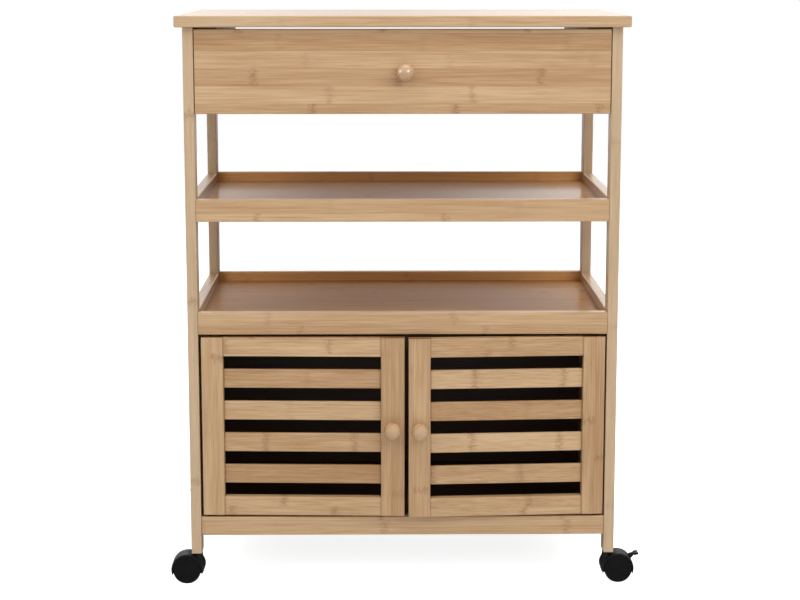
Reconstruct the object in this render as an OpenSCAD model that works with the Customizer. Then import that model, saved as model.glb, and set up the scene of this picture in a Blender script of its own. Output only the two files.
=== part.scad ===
// Kitchen cart in laminated bamboo: a drawer under the top board, two open shelves,
// a cabinet with two slatted doors, and four hooded twin-wheel castors, two with a brake.
// The front faces -Y and the castors stand on Z = 0. All sizes are in millimetres.

/* [Top board] */
// Width of the top board
top_w = 600; // [500:5:720]
// Depth of the top board, front to back
top_d = 380; // [340:5:480]
// Thickness of the top board
top_t = 15; // [12:1:25]
// How far the top board stands out past the posts, all round
top_overhang = 10; // [4:1:20]
// Rounding of the top board's edges
top_edge_r = 2; // [0.5:0.5:4]

/* [Posts and rails] */
// Width of a post, seen from the front
post_w = 14; // [14:1:20]
// Depth of a post, front to back
post_d = 30; // [24:1:45]
// Height of the rails round the open shelves
rail_h = 30; // [27:1:45]
// Thickness of every rail
rail_t = 14; // [13:1:18]
// Height of the rails under the cabinet
base_rail_h = 26; // [24:1:40]
// Length of post that shows under the base rails
leg_h = 26; // [22:1:60]
// Thickness of the boards that close the sides
side_board_t = 12; // [8:1:14]
// Rounding of the long edges of posts, rails and boards
edge_r = 1.2; // [0.5:0.1:2]

/* [Open shelves] */
// Open height between the upper shelf's rails and the drawer front
upper_bay_h = 114; // [80:1:200]
// Open height between the two shelves
lower_bay_h = 123; // [80:1:220]
// Depth of a shelf panel's surface under the top of its rails
lip_h = 13.5; // [8:0.5:16]
// Thickness of the shelf panels and of the cabinet floor
panel_t = 5; // [3:0.5:8]
// Depth of the groove that holds a panel's edge
groove_d = 4; // [3:0.5:4.5]

/* [Drawer] */
// Height of the drawer front
drawer_front_h = 111.5; // [105:0.5:160]
// Thickness of the drawer front
drawer_front_t = 14; // [12:1:18]
// Slit between the drawer front and the top board
drawer_top_gap = 2.5; // [1:0.5:4]
// Gap between the drawer front and a post
drawer_side_gap = 1; // [0.5:0.1:1.4]
// Height of the drawer's sides and back
drawer_side_h = 86; // [60:1:88]
// Thickness of the drawer's sides and back
drawer_side_t = 10; // [9:1:12]
// Room behind the closed drawer, up to the rail at the back
drawer_rear_gap = 22; // [20:1:92]
// Thickness of the drawer's bottom panel
drawer_bottom_t = 4; // [3:0.5:6]
// How far the knob sits to the right of the middle
drawer_knob_offset = 3; // [-20:1:20]

/* [Doors] */
// Height of a door
door_h = 247.4; // [220:0.1:320]
// Thickness of a door's stiles
door_t = 14; // [13:0.5:14.5]
// Gap over the doors
door_top_gap = 3.7; // [2:0.1:5]
// Gap under the doors
door_bottom_gap = 2.9; // [2.5:0.1:5]
// Gap between the left door and its post
left_hinge_gap = 3.7; // [3:0.1:5]
// Gap between the right door and its post
right_hinge_gap = 2.4; // [2.3:0.1:5]
// Gap between the two doors
meeting_gap = 4.5; // [3:0.1:8]
// How far the line where the doors meet lies to the right of the middle
meeting_offset = 5; // [-20:1:20]
// Width of a stile
stile_w = 29.3; // [26:0.1:40]
// Width of the left door's stile at the middle of the cart
left_meeting_stile_w = 32; // [26:0.5:40]
// Height of a door's top rail
door_top_rail_h = 26; // [24:1:40]
// Height of a door's bottom rail
door_bottom_rail_h = 26; // [20:1:40]
// Height of a slat
slat_h = 26; // [20:0.5:30]
// Number of slats in a door
slat_count = 4; // [2:1:4]
// Thickness of a door's rails
door_rail_t = 13; // [8:0.5:13]
// Thickness of the slats
slat_t = 5; // [4:0.5:8]
// How far the left door stands open at rest, in degrees
left_ajar = 1.9; // [0:0.1:10]
// How far the right door stands open at rest, in degrees
right_ajar = 3.4; // [0:0.1:10]
// Distance from a door's hinge edge to its pivot
pivot_inset = 10; // [9:0.5:11]
// Diameter of the pivot pins
pivot_pin_d = 5; // [4:0.5:6]

/* [Knobs] */
// Diameter of the ball of a knob
knob_d = 23.5; // [18:0.5:24]
// How far a knob stands out
knob_l = 24.5; // [24.5:0.5:34]
// Diameter of a knob's neck
knob_neck_d = 12.4; // [9:0.1:15]

/* [Castors] */
// Diameter of a castor wheel
wheel_d = 38; // [34:1:50]
// Width of a castor wheel
wheel_w = 10.9; // [8:0.1:14]
// Distance from the swivel axis to the axle
trail = 14; // [12:0.5:15]
// Thickness of the hood's shell
hood_wall = 2.1; // [1.5:0.1:3]
// Thickness of the hood's middle wall, between the wheels
web_t = 8.4; // [8.2:0.2:10]
// Diameter of the axle
axle_d = 5; // [4:0.5:6]
// Diameter of the swivel stem
stem_d = 6; // [5:0.5:6.5]
// Width of the brake lever's pad
brake_pad_w = 12; // [8:1:16]

/* [Hidden] */

$fn = 48;

// How far every cut runs past the face that it opens
overrun = 1;
// Radial clearance of a pin that turns in a bore
fit_gap = 0.05;
// Running gap between pieces that pass close to each other
run_gap = 0.3;

// Colours of the real cart
bamboo = [0.78, 0.63, 0.43];
bamboo_dark = [0.70, 0.53, 0.34];
panel_brown = [0.62, 0.42, 0.25];
knob_wood = [0.83, 0.68, 0.50];
steel = [0.72, 0.72, 0.74];
brass = [0.75, 0.62, 0.32];
black = [0.10, 0.10, 0.11];

// Widths of the frame, and where its posts' inner faces lie to either side
body_w = top_w - 2 * top_overhang;
body_d = top_d - 2 * top_overhang;
half_out = body_w / 2;
half_in = half_out - post_w;

// The castors' own sizes: the hood is a shell round the wheels
wheel_r = wheel_d / 2;
wheel_gap = 0.7;
hood_r = wheel_r + wheel_gap + hood_wall;
hood_edge_r = 3;
// The wheels' outer faces stand a little proud of the hood's sides
wheel_inner_y = web_t / 2 + run_gap;
wheel_proud = 0.4;
hood_w = 2 * (wheel_inner_y + wheel_w - wheel_proud);
// Thickness of the stem's collar, between the hood and the post
collar_t = 1.9;
hood_top_z = wheel_r + hood_r;
castor_h = hood_top_z + run_gap + collar_t;

// Heights, built up from the floor
base_z0 = castor_h + leg_h;
base_z1 = base_z0 + base_rail_h;
door_z0 = base_z1 + door_bottom_gap;
door_z1 = door_z0 + door_h;
lower_z0 = door_z1 + door_top_gap;
lower_z1 = lower_z0 + rail_h;
upper_z0 = lower_z1 + lower_bay_h;
upper_z1 = upper_z0 + rail_h;
drawer_z0 = upper_z1 + upper_bay_h;
drawer_z1 = drawer_z0 + drawer_front_h;
top_z0 = drawer_z1 + drawer_top_gap;
top_z1 = top_z0 + top_t;

// Doors: the widths follow from the gaps round them
left_door_w = half_in + meeting_offset - meeting_gap / 2 - left_hinge_gap;
right_door_w = half_in - meeting_offset - meeting_gap / 2 - right_hinge_gap;
left_pivot_x = -half_in + left_hinge_gap + pivot_inset;
right_pivot_x = half_in - right_hinge_gap - pivot_inset;
knob_r = knob_d / 2;
// Distance from a door's or drawer's face to the middle of its knob's ball
knob_reach = knob_l - knob_r;

// How far the ajar doors' knobs reach in front of the frame
function knob_tip(door_w, knob_inset, ajar) =
    (door_w - pivot_inset - knob_inset) * sin(ajar) + (door_t / 2 + knob_reach) * cos(ajar)
    - door_t / 2 + knob_r;
left_knob_tip = knob_tip(left_door_w, left_meeting_stile_w / 2, left_ajar);
right_knob_tip = knob_tip(right_door_w, stile_w / 2, right_ajar);
reach_front = max(left_knob_tip, right_knob_tip, knob_l, top_overhang);

// The frame's front and back planes, placed so that the origin is the middle of the whole cart
front_y = (reach_front - body_d - top_overhang) / 2;
back_y = front_y + body_d;
pivot_y = front_y + door_t / 2;

// Stems stand in the middle of the posts
stem_x = half_out - post_w / 2;
front_stem_y = front_y + post_d / 2;
rear_stem_y = back_y - post_d / 2;

// Boards, with edge rounding on the four edges along one axis

// A flat rectangle with its corner at the origin and its corners rounded
module rounded_rect(size, r) {
    translate([r, 0]) square([size.x - 2 * r, size.y]);
    translate([0, r]) square([size.x, size.y - 2 * r]);
    for (x = [r, size.x - r], y = [r, size.y - r]) {
        translate([x, y]) circle(r = r);
    }
}

// A board from corner lo to corner hi whose long edges run along X
module board_x(lo, hi, r = edge_r) {
    size = hi - lo;
    translate(lo)
        rotate([90, 0, 90])
            linear_extrude(size.x) rounded_rect([size.y, size.z], r);
}

// A board from corner lo to corner hi whose long edges run along Y
module board_y(lo, hi, r = edge_r) {
    size = hi - lo;
    translate([lo.x, hi.y, lo.z])
        rotate([90, 0, 0])
            linear_extrude(size.y) rounded_rect([size.x, size.z], r);
}

// A board from corner lo to corner hi whose long edges run along Z
module board_z(lo, hi, r = edge_r) {
    size = hi - lo;
    translate(lo) linear_extrude(size.z) rounded_rect([size.x, size.y], r);
}

// A plain block from corner lo to corner hi
module block(lo, hi) {
    translate(lo) cube(hi - lo);
}

// A block whose every edge and corner is rounded
module soft_block(lo, hi, r) {
    size = hi - lo;
    board_x([lo.x + r, lo.y, lo.z], [hi.x - r, hi.y, hi.z], r);
    board_y([lo.x, lo.y + r, lo.z], [hi.x, hi.y - r, hi.z], r);
    board_z([lo.x, lo.y, lo.z + r], [hi.x, hi.y, hi.z - r], r);
    for (x = [r, size.x - r], y = [r, size.y - r], z = [r, size.z - r]) {
        translate(lo + [x, y, z]) sphere(r = r);
    }
}

// A rod along X, Y or Z from a point, r thick and l long
module rod_x(start, r, l) {
    translate(start) rotate([0, 90, 0]) cylinder(r = r, h = l);
}
module rod_y(start, r, l) {
    translate(start) rotate([-90, 0, 0]) cylinder(r = r, h = l);
}
module rod_z(start, r, l) {
    translate(start) cylinder(r = r, h = l);
}

// Copies that mirror a right-hand piece to the left
module both_sides() {
    children();
    mirror([1, 0, 0]) children();
}

// Frame screws: a shaft through the post into the end of a rail, and a sunk head

screw_r = 2.25;
screw_head_r = 4.5;
screw_head_t = 3;
screw_bite = 30;
// Heights of the two screws in the upper rear rail, from its bottom
upper_rear_rail_h = 80;
upper_rear_screw_up = 20;
upper_rear_z0 = drawer_z0 + (drawer_front_h - upper_rear_rail_h) / 4;
rear_screw_z = [
    base_z0 + base_rail_h / 2,
    lower_z0 + rail_h / 2,
    upper_z0 + rail_h / 2,
    upper_rear_z0 + upper_rear_screw_up,
    upper_rear_z0 + upper_rear_rail_h - upper_rear_screw_up
];
front_screw_z = [
    base_z0 + base_rail_h / 2,
    lower_z0 + rail_h / 2,
    upper_z0 + rail_h / 2
];
front_screw_y = front_y + rail_t / 2;
rear_screw_y = back_y - rail_t / 2;

// One screw on the right side, its head flush with the post's outer face
module frame_screw(y, z) {
    rod_x([half_out - post_w - screw_bite, y, z], screw_r, post_w + screw_bite);
    rod_x([half_out - screw_head_t, y, z], screw_head_r, screw_head_t);
}

module right_frame_screws() {
    for (z = front_screw_z) frame_screw(front_screw_y, z);
    for (z = rear_screw_z) frame_screw(rear_screw_y, z);
}

// Cleats along the sides under the top board, which the board is screwed to
cleat_w = 30;
cleat_t = 14;
cleat_gap = 2;
cleat_y0 = front_y + drawer_front_t + cleat_gap;
cleat_y1 = back_y - rail_t;
cleat_screw_in = 45;
top_screw_r = 2;
top_screw_head_r = 4;
top_screw_head_t = 2.5;
top_screw_bite = 9;

// The right-hand cleat's two screws, up into the top board
module right_top_screws() {
    for (y = [cleat_y0 + cleat_screw_in, cleat_y1 - cleat_screw_in]) {
        rod_z([half_in - cleat_w / 2, y, top_z0 - cleat_t], top_screw_r, cleat_t + top_screw_bite);
        rod_z([half_in - cleat_w / 2, y, top_z0 - cleat_t], top_screw_head_r, top_screw_head_t);
    }
}

module frame_screws() {
    color(steel) both_sides() {
        right_frame_screws();
        right_top_screws();
    }
}

// Castor stems and the sockets that hold them in the posts
socket_r = 5;
socket_l = 26;
collar_r = 7;
stem_r = stem_d / 2;
// The stem reaches into the hood to this height
stem_foot_z = 24;

// Copies at the four posts; the castors on the left are mirrored, so that all trail outwards
module at_stems() {
    for (y = [front_stem_y, rear_stem_y]) {
        both_sides() translate([stem_x, y, 0]) children();
    }
}

module castor_sockets() {
    color(brass) at_stems() difference() {
        rod_z([0, 0, castor_h], socket_r, socket_l);
        rod_z([0, 0, castor_h - overrun], stem_r, socket_l - collar_t + overrun);
    }
}

module castor_stems() {
    color(steel) at_stems() {
        rod_z([0, 0, stem_foot_z], stem_r, castor_h + socket_l - collar_t - stem_foot_z);
        rod_z([0, 0, castor_h - collar_t], collar_r, collar_t);
    }
}

// Top board and posts

module top_board() {
    color(bamboo) difference() {
        soft_block(
            [-top_w / 2, front_y - top_overhang, top_z0],
            [top_w / 2, back_y + top_overhang, top_z1],
            top_edge_r
        );
        both_sides() right_top_screws();
    }
}

// A post on the right, front or rear, with its screw holes and its socket hole
module right_post(y0, stem_y) {
    difference() {
        board_z([half_in, y0, castor_h], [half_out, y0 + post_d, top_z0]);
        right_frame_screws();
        rod_z([stem_x, stem_y, castor_h - overrun], socket_r, socket_l + overrun);
    }
}

module front_right_post() {
    color(bamboo) right_post(front_y, front_stem_y);
}

module front_left_post() {
    color(bamboo) mirror([1, 0, 0]) right_post(front_y, front_stem_y);
}

module rear_right_post() {
    color(bamboo) right_post(back_y - post_d, rear_stem_y);
}

module rear_left_post() {
    color(bamboo) mirror([1, 0, 0]) right_post(back_y - post_d, rear_stem_y);
}

// Side boards, the rear rail and the cleats round the drawer

side_y0 = front_y + post_d;
side_y1 = back_y - post_d;

module upper_side_boards() {
    color(bamboo) both_sides()
        board_y([half_in, side_y0, drawer_z0], [half_in + side_board_t, side_y1, top_z0]);
}

module upper_rear_rail() {
    color(bamboo) difference() {
        board_x(
            [-half_in, back_y - rail_t, upper_rear_z0],
            [half_in, back_y, upper_rear_z0 + upper_rear_rail_h]
        );
        both_sides() right_frame_screws();
    }
}

module top_cleats() {
    color(bamboo_dark) both_sides() difference() {
        board_y([half_in - cleat_w, cleat_y0, top_z0 - cleat_t], [half_in, cleat_y1, top_z0]);
        right_top_screws();
    }
}

// Shelves: four rails with a groove, and a panel whose edges sit in the grooves

// The space that a shelf panel or the cabinet floor fills, for rails that end at rail_top
module panel_space(rail_top, side_groove = groove_d) {
    block(
        [-half_in - side_groove, front_y + rail_t - groove_d, rail_top - lip_h - panel_t],
        [half_in + side_groove, back_y - rail_t + groove_d, rail_top - lip_h]
    );
}

// A shelf panel has its corners cut away round the posts
module shelf_panel(rail_top) {
    difference() {
        panel_space(rail_top);
        both_sides() for (y0 = [front_y, back_y - post_d]) {
            block(
                [half_in, y0, rail_top - lip_h - panel_t - overrun],
                [half_out, y0 + post_d, rail_top - lip_h + overrun]
            );
        }
    }
}

// A rail across the cart; its lower corner is at depth y0 and height z0
module cross_rail(y0, z0, h, rail_top) {
    difference() {
        board_x([-half_in, y0, z0], [half_in, y0 + rail_t, z0 + h]);
        panel_space(rail_top);
        both_sides() right_frame_screws();
        door_pins();
    }
}

// A rail on the right side, between the posts
module right_side_rail(z0, rail_top) {
    difference() {
        board_y([half_in, side_y0, z0], [half_in + rail_t, side_y1, z0 + rail_h]);
        panel_space(rail_top);
    }
}

module upper_shelf_front_rail() {
    color(bamboo) cross_rail(front_y, upper_z0, rail_h, upper_z1);
}

module upper_shelf_rear_rail() {
    color(bamboo) cross_rail(back_y - rail_t, upper_z0, rail_h, upper_z1);
}

module upper_shelf_left_rail() {
    color(bamboo) mirror([1, 0, 0]) right_side_rail(upper_z0, upper_z1);
}

module upper_shelf_right_rail() {
    color(bamboo) right_side_rail(upper_z0, upper_z1);
}

module upper_shelf_panel() {
    color(panel_brown) shelf_panel(upper_z1);
}

module lower_shelf_front_rail() {
    color(bamboo) cross_rail(front_y, lower_z0, rail_h, lower_z1);
}

module lower_shelf_rear_rail() {
    color(bamboo) cross_rail(back_y - rail_t, lower_z0, rail_h, lower_z1);
}

module lower_shelf_left_rail() {
    color(bamboo) mirror([1, 0, 0]) right_side_rail(lower_z0, lower_z1);
}

module lower_shelf_right_rail() {
    color(bamboo) right_side_rail(lower_z0, lower_z1);
}

module lower_shelf_panel() {
    color(panel_brown) shelf_panel(lower_z1);
}

// Cabinet: side panels between the posts, a thin back on the rear rails, and a floor

back_panel_t = 4;
back_panel_lap = 8;

module right_cabinet_panel() {
    difference() {
        board_y([half_in, side_y0, base_z0], [half_in + side_board_t, side_y1, lower_z0]);
        panel_space(base_z1);
    }
}

module cabinet_right_panel() {
    color(bamboo) right_cabinet_panel();
}

module cabinet_left_panel() {
    color(bamboo) mirror([1, 0, 0]) right_cabinet_panel();
}

module cabinet_back_panel() {
    color(bamboo_dark) block(
        [-half_in, back_y - rail_t - back_panel_t, base_z1 - lip_h],
        [half_in, back_y - rail_t, lower_z0 + back_panel_lap]
    );
}

module cabinet_floor() {
    color(bamboo_dark) shelf_panel(base_z1);
}

module base_front_rail() {
    color(bamboo) cross_rail(front_y, base_z0, base_rail_h, base_z1);
}

module base_rear_rail() {
    color(bamboo) cross_rail(back_y - rail_t, base_z0, base_rail_h, base_z1);
}

// Magnetic catch under the lower shelf, where the doors meet
catch_w = 48;
catch_d = 18;
catch_h = 34;
strike_t = 1;
strike_w = 14;
strike_h = 14;
strike_inset = 3;
catch_y0 = front_y + door_t + strike_t + run_gap;
catch_slot_w = 2;
catch_slot_d = 3;
catch_top_z = lower_z1 - lip_h - panel_t;

module door_catch() {
    color(black) difference() {
        block(
            [meeting_offset - catch_w / 2, catch_y0, catch_top_z - catch_h],
            [meeting_offset + catch_w / 2, catch_y0 + catch_d, catch_top_z]
        );
        // Slots between the pole plates, one for each door
        for (side = [-1, 1]) {
            x = meeting_offset + side * catch_w / 4;
            block(
                [x - catch_slot_w / 2, catch_y0 - overrun, catch_top_z - catch_h - overrun],
                [x + catch_slot_w / 2, catch_y0 + catch_slot_d, catch_top_z - catch_h / 2]
            );
        }
    }
}

// Pivot pins: one over and one under each door, the lower one with a collar that carries it
pin_bite = 9;
pin_in_door = 12;
pin_collar_r = 4.5;
pin_r = pivot_pin_d / 2;

module door_pins() {
    for (x = [left_pivot_x, right_pivot_x]) {
        rod_z([x, pivot_y, door_z1 - pin_in_door], pin_r, door_top_gap + pin_in_door + pin_bite);
        rod_z([x, pivot_y, base_z1 - pin_bite], pin_r, door_bottom_gap + pin_in_door + pin_bite);
        rod_z([x, pivot_y, base_z1], pin_collar_r, door_bottom_gap - run_gap);
    }
}

module door_pivot_pins() {
    color(steel) door_pins();
}

// Drawer: a box whose bottom panel sits in grooves, sliding on runners fixed to the side boards
drawer_clearance = 1.5;
drawer_lift = 11;
drawer_bottom_up = 6;
drawer_half = half_in - drawer_clearance;
drawer_side_z0 = drawer_z0 + drawer_lift;
drawer_bottom_z0 = drawer_side_z0 + drawer_bottom_up;
drawer_box_y0 = front_y + drawer_front_t;
drawer_box_y1 = back_y - rail_t - drawer_rear_gap;
drawer_back_y0 = drawer_box_y1 - drawer_side_t;

// The runner is a strip with a stop near its front end, which the drawer's back meets
runner_w = 24;
runner_h = 8.7;
runner_z1 = drawer_side_z0 - run_gap;
runner_stop_w = 11;
runner_stop_h = 5;
runner_stop_l = 12;
runner_stop_in = 44;

module drawer_runners() {
    color(bamboo_dark) both_sides() {
        board_y(
            [half_in - runner_w, cleat_y0, runner_z1 - runner_h],
            [half_in, side_y1, runner_z1]
        );
        block(
            [half_in - runner_w, cleat_y0 + runner_stop_in, runner_z1 - runner_h / 2],
            [
                half_in - runner_w + runner_stop_w,
                cleat_y0 + runner_stop_in + runner_stop_l,
                runner_z1 + runner_stop_h
            ]
        );
    }
}

module drawer_bottom_space() {
    block(
        [-drawer_half + drawer_side_t - groove_d, drawer_box_y0 - groove_d, drawer_bottom_z0],
        [
            drawer_half - drawer_side_t + groove_d,
            drawer_back_y0 + groove_d,
            drawer_bottom_z0 + drawer_bottom_t
        ]
    );
}

// Knob screws: a shaft from the back of the panel into the knob, and a round head
knob_screw_r = 2;
knob_screw_head_r = 4;
knob_screw_head_t = 2.2;
knob_screw_bite = 12;

// A knob with its face at the origin, standing out towards -Y; profile points are radius, reach
knob_base_r = 7.4;
knob_base_t = 1.6;

module knob() {
    difference() {
        union() {
            translate([0, -knob_reach, 0]) sphere(r = knob_r, $fn = 64);
            rod_y([0, -knob_reach, 0], knob_neck_d / 2, knob_reach);
            rod_y([0, -knob_base_t, 0], knob_base_r, knob_base_t);
        }
        rod_y([0, -knob_screw_bite, 0], knob_screw_r, knob_screw_bite + overrun);
    }
}

// The knob's screw, through a panel of thickness t whose face is at the origin
module knob_screw(t) {
    rod_y([0, -knob_screw_bite, 0], knob_screw_r, knob_screw_bite + t);
    rod_y([0, t, 0], knob_screw_head_r, knob_screw_head_t);
}

drawer_knob_at = [drawer_knob_offset, front_y, (drawer_z0 + drawer_z1) / 2];

module drawer_front() {
    color(bamboo) difference() {
        board_x(
            [-half_in + drawer_side_gap, front_y, drawer_z0],
            [half_in - drawer_side_gap, drawer_box_y0, drawer_z1]
        );
        drawer_bottom_space();
        translate(drawer_knob_at) knob_screw(drawer_front_t);
    }
}

module drawer_sides() {
    color(bamboo) both_sides() difference() {
        board_y(
            [drawer_half - drawer_side_t, drawer_box_y0, drawer_side_z0],
            [drawer_half, drawer_box_y1, drawer_side_z0 + drawer_side_h]
        );
        drawer_bottom_space();
    }
}

module drawer_back() {
    color(bamboo) difference() {
        board_x(
            [-drawer_half + drawer_side_t, drawer_back_y0, drawer_side_z0],
            [drawer_half - drawer_side_t, drawer_box_y1, drawer_side_z0 + drawer_side_h]
        );
        drawer_bottom_space();
    }
}

module drawer_bottom() {
    color(panel_brown) drawer_bottom_space();
}

module drawer_knob() {
    color(knob_wood) translate(drawer_knob_at) knob();
}

module drawer_knob_screw() {
    color(steel) translate(drawer_knob_at) knob_screw(drawer_front_t);
}

// Doors: each is drawn closed with its pivot at the origin and the door towards +X, then
// turned ajar and set on its pivot; the right door is mirrored

slat_gap = (door_h - door_top_rail_h - door_bottom_rail_h - slat_count * slat_h) / (slat_count + 1);

module place_left() {
    translate([left_pivot_x, pivot_y, door_z0]) rotate([0, 0, -left_ajar]) children();
}

module place_right() {
    translate([right_pivot_x, pivot_y, door_z0])
        rotate([0, 0, right_ajar])
            mirror([1, 0, 0]) children();
}

// The stile at the hinge, with the bores for the pivot pins
module hinge_stile() {
    difference() {
        board_z([-pivot_inset, -door_t / 2, 0], [stile_w - pivot_inset, door_t / 2, door_h]);
        for (z = [-overrun, door_h - pin_in_door - run_gap]) {
            rod_z([0, 0, z], pin_r + fit_gap, pin_in_door + run_gap + overrun);
        }
    }
}

// The middle of the knob on a door's face, a little under half its height
door_knob_drop = 2;
function knob_at(door_w, meeting_w) =
    [door_w - pivot_inset - meeting_w / 2, -door_t / 2, door_h / 2 - door_knob_drop];

module meeting_stile(door_w, meeting_w) {
    x1 = door_w - pivot_inset;
    difference() {
        board_z([x1 - meeting_w, -door_t / 2, 0], [x1, door_t / 2, door_h]);
        translate(knob_at(door_w, meeting_w)) knob_screw(door_t);
    }
}

// A rail or slat of a door, from height z0, h high and t thick, in the middle of the stiles
module door_bar(door_w, meeting_w, z0, h, t) {
    board_x(
        [stile_w - pivot_inset, -t / 2, z0],
        [door_w - pivot_inset - meeting_w, t / 2, z0 + h]
    );
}

module door_top_rail(door_w, meeting_w) {
    z0 = door_h - door_top_rail_h;
    door_bar(door_w, meeting_w, z0, door_top_rail_h, door_rail_t);
}

module door_bottom_rail(door_w, meeting_w) {
    door_bar(door_w, meeting_w, 0, door_bottom_rail_h, door_rail_t);
}

module door_slats(door_w, meeting_w) {
    for (i = [0 : slat_count - 1]) {
        z0 = door_bottom_rail_h + slat_gap + i * (slat_h + slat_gap);
        door_bar(door_w, meeting_w, z0, slat_h, slat_t);
    }
}

// The knob's screw, and the steel plate that the magnet holds
module door_fittings(door_w, meeting_w) {
    x1 = door_w - pivot_inset - strike_inset;
    z1 = door_h - strike_inset;
    translate(knob_at(door_w, meeting_w)) knob_screw(door_t);
    block([x1 - strike_w, door_t / 2, z1 - strike_h], [x1, door_t / 2 + strike_t, z1]);
}

module left_door_hinge_stile() {
    color(bamboo) place_left() hinge_stile();
}

module left_door_meeting_stile() {
    color(bamboo) place_left() meeting_stile(left_door_w, left_meeting_stile_w);
}

module left_door_top_rail() {
    color(bamboo) place_left() door_top_rail(left_door_w, left_meeting_stile_w);
}

module left_door_bottom_rail() {
    color(bamboo) place_left() door_bottom_rail(left_door_w, left_meeting_stile_w);
}

module left_door_slats() {
    color(bamboo) place_left() door_slats(left_door_w, left_meeting_stile_w);
}

module left_door_knob() {
    color(knob_wood) place_left()
        translate(knob_at(left_door_w, left_meeting_stile_w)) knob();
}

module left_door_fittings() {
    color(steel) place_left() door_fittings(left_door_w, left_meeting_stile_w);
}

module right_door_hinge_stile() {
    color(bamboo) place_right() hinge_stile();
}

module right_door_meeting_stile() {
    color(bamboo) place_right() meeting_stile(right_door_w, stile_w);
}

module right_door_top_rail() {
    color(bamboo) place_right() door_top_rail(right_door_w, stile_w);
}

module right_door_bottom_rail() {
    color(bamboo) place_right() door_bottom_rail(right_door_w, stile_w);
}

module right_door_slats() {
    color(bamboo) place_right() door_slats(right_door_w, stile_w);
}

module right_door_knob() {
    color(knob_wood) place_right() translate(knob_at(right_door_w, stile_w)) knob();
}

module right_door_fittings() {
    color(steel) place_right() door_fittings(right_door_w, stile_w);
}

// Castors: drawn with the swivel axis on Z and the wheels trailing towards +X

axle_r = axle_d / 2;
axle_end_gap = 1.8;
axle_half_l = wheel_inner_y + wheel_w - axle_end_gap;
// The hood's shell ends this far under the axle, in two sharp tips
hood_tip_drop = 7.8;
tip_sharpen_drop = 3.5;
tip_sharpen_gap = 1.4;
tip_sharpen_r = wheel_r + tip_sharpen_gap;
// The swivel housing's outline: its radius at heights from its foot up to the hood's top
housing_r = 11;
housing_foot_z = wheel_r - hood_tip_drop;
housing_radius_shares = [0.64, 0.8, 0.93, 0.99, 1, 0.97, 0.87, 0.72, 0.66, 0.64];
housing_height_shares = [0, 0.17, 0.31, 0.41, 0.5, 0.59, 0.7, 0.79, 0.87, 1];

module swivel_housing() {
    h = hood_top_z - housing_foot_z;
    outline = [
        for (i = [0 : len(housing_radius_shares) - 1])
            [housing_r * housing_radius_shares[i], housing_foot_z + h * housing_height_shares[i]]
    ];
    rotate_extrude() polygon(concat([[0, housing_foot_z]], outline, [[0, hood_top_z]]));
}

// A round drum along Y with rounded rims, in the middle of which the origin lies
module drum(r, w, rim_r) {
    rotate([90, 0, 0]) rotate_extrude($fn = 72) {
        translate([0, -w / 2]) square([r - rim_r, w]);
        translate([0, -w / 2 + rim_r]) square([r, w - 2 * rim_r]);
        for (y = [-w / 2 + rim_r, w / 2 - rim_r]) {
            translate([r - rim_r, y]) circle(r = rim_r, $fn = 32);
        }
    }
}

module castor_hood(has_brake) {
    difference() {
        union() {
            translate([trail, 0, wheel_r]) drum(hood_r, hood_w, hood_edge_r);
            swivel_housing();
        }
        // Room for the wheels on either side of the middle wall
        for (side = [-1, 1]) {
            translate([trail, side * (web_t / 2 + hood_w / 2), wheel_r])
                rotate([90, 0, 0])
                    cylinder(r = wheel_r + wheel_gap, h = hood_w, center = true, $fn = 72);
            translate([trail, side * (web_t / 2 + hood_w / 2), wheel_r - tip_sharpen_drop])
                rotate([90, 0, 0])
                    cylinder(r = tip_sharpen_r, h = hood_w, center = true, $fn = 72);
        }
        // Everything under the tips
        block(
            [trail - 2 * hood_r, -hood_w, -hood_r],
            [trail + 2 * hood_r, hood_w, wheel_r - hood_tip_drop]
        );
        rod_z([0, 0, stem_foot_z - run_gap], stem_r + fit_gap, hood_top_z);
        rod_y([trail, -hood_w, wheel_r], axle_r + fit_gap, 2 * hood_w);
        if (has_brake) {
            brake_slot();
        }
    }
}

// A pair of wheels with a raised rim, and their axle
wheel_rim_r = 2;
wheel_rim_w = 3.2;
wheel_dish = 0.6;

module castor_wheel() {
    difference() {
        translate([0, wheel_inner_y + wheel_w / 2, 0]) drum(wheel_r, wheel_w, wheel_rim_r);
        // The shallow dish inside the rim, on the outer face
        rod_y(
            [0, wheel_inner_y + wheel_w - wheel_dish, 0],
            wheel_r - wheel_rim_w, wheel_dish + overrun
        );
        rod_y([0, 0, 0], axle_r + fit_gap, axle_half_l + run_gap);
    }
}

module castor_wheels() {
    translate([trail, 0, wheel_r]) {
        castor_wheel();
        mirror([0, 1, 0]) castor_wheel();
        rod_y([0, -axle_half_l, 0], axle_r, 2 * axle_half_l);
    }
}

// Brake lever: a hub on two studs in the hood's middle wall, a neck, and a curved pad
brake_angle = 41;
brake_pivot_in = 1.5;
brake_pivot_r = wheel_r - brake_pivot_in;
brake_pivot = [
    trail + brake_pivot_r * cos(brake_angle),
    0,
    wheel_r + brake_pivot_r * sin(brake_angle)
];
brake_slot_r = 6.6;
brake_hub_r = 3;
brake_neck_w = 4;
brake_stud_r = 1.25;
brake_stud_l = 1.4;
// How far the pad reaches out from the pivot, and how far it rises
brake_reach = 16.2;
brake_rise = 9.2;
neck_shares = [
    [-0.15, 0.1], [0.07, 0.54], [0.28, 0.75], [0.53, 0.84],
    [0.6, 0.53], [0.51, 0.28], [0.38, 0.05], [0.09, -0.29]
];
pad_shares = [
    [0.53, 0.84], [0.71, 0.94], [0.87, 1], [0.93, 0.97],
    [1, 0.68], [0.86, 0.66], [0.71, 0.6], [0.6, 0.53]
];

module brake_outline(shares) {
    polygon([for (p = shares) [brake_reach * p.x, brake_rise * p.y]]);
}

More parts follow.
